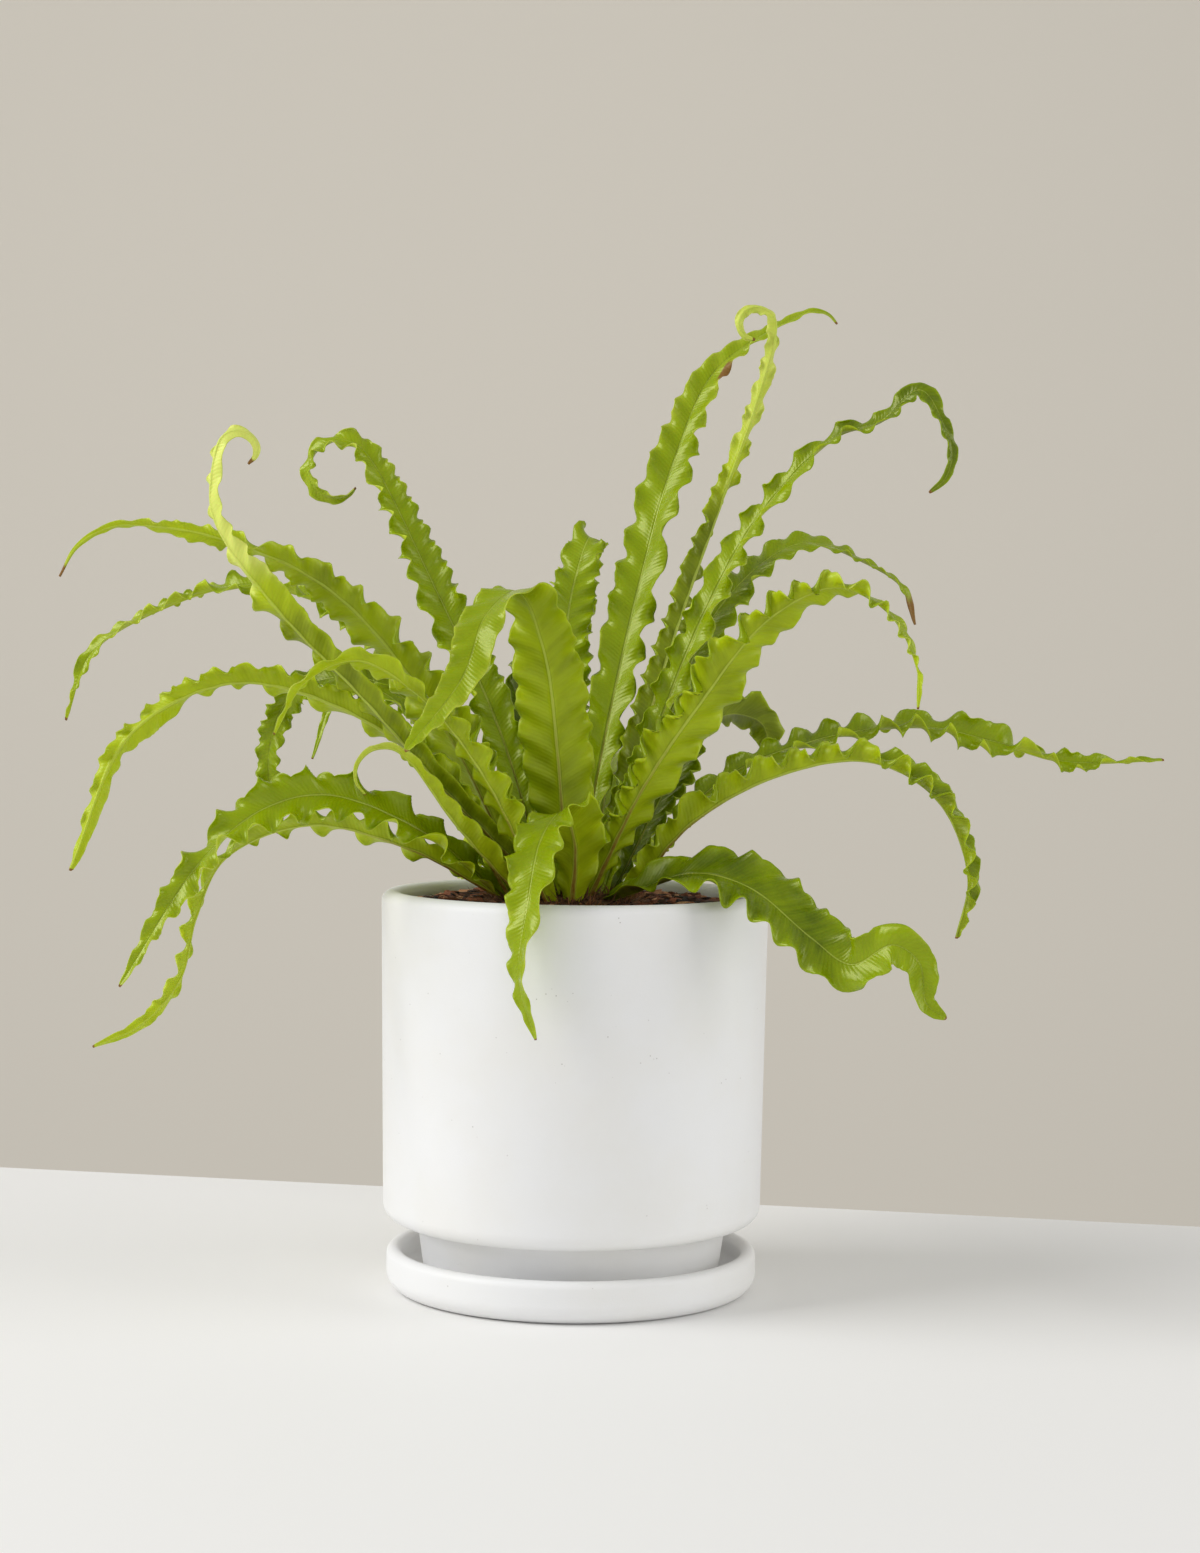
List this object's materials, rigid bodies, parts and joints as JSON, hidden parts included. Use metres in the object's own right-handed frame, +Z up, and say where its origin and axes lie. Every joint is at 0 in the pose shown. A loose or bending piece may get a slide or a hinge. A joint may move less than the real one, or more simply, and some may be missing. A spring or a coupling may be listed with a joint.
{
  "type": "potted fern",
  "caption": "Crisped bird's-nest fern with long ruffled arching fronds, growing in a white ceramic cylinder planter with a separate drip saucer",
  "frame": {"origin": "the middle of the saucer's flat underside, on the surface the pot stands on", "axes": "+Z up; the front of the plant faces -Y and its longest reach is along X"},
  "size_m": [0.4942, 0.2893, 0.43],
  "materials": {
    "ceramic": "matte",
    "soil": "matte",
    "crown_fibre": "matte",
    "frond": "satin"
  },
  "bodies": {
    "root": {"saucer": "ceramic", "pot": "ceramic", "soil": "soil", "crown": "crown_fibre", "frond_left_1": "frond", "frond_left_2": "frond", "frond_left_3": "frond", "frond_left_4": "frond", "frond_left_5": "frond", "frond_left_6": "frond", "frond_left_7": "frond", "frond_left_8": "frond", "frond_left_9": "frond", "frond_left_10": "frond", "frond_left_11": "frond", "frond_front_1": "frond", "frond_front_2": "frond", "frond_right_1": "frond", "frond_right_2": "frond", "frond_right_3": "frond", "frond_right_4": "frond", "frond_right_5": "frond", "frond_right_6": "frond", "frond_right_7": "frond", "frond_right_8": "frond", "frond_right_9": "frond", "frond_back_1": "frond", "frond_back_2": "frond", "frond_back_3": "frond", "frond_back_4": "frond", "frond_back_5": "frond", "frond_back_6": "frond", "frond_back_7": "frond"}
  },
  "joints": []
}
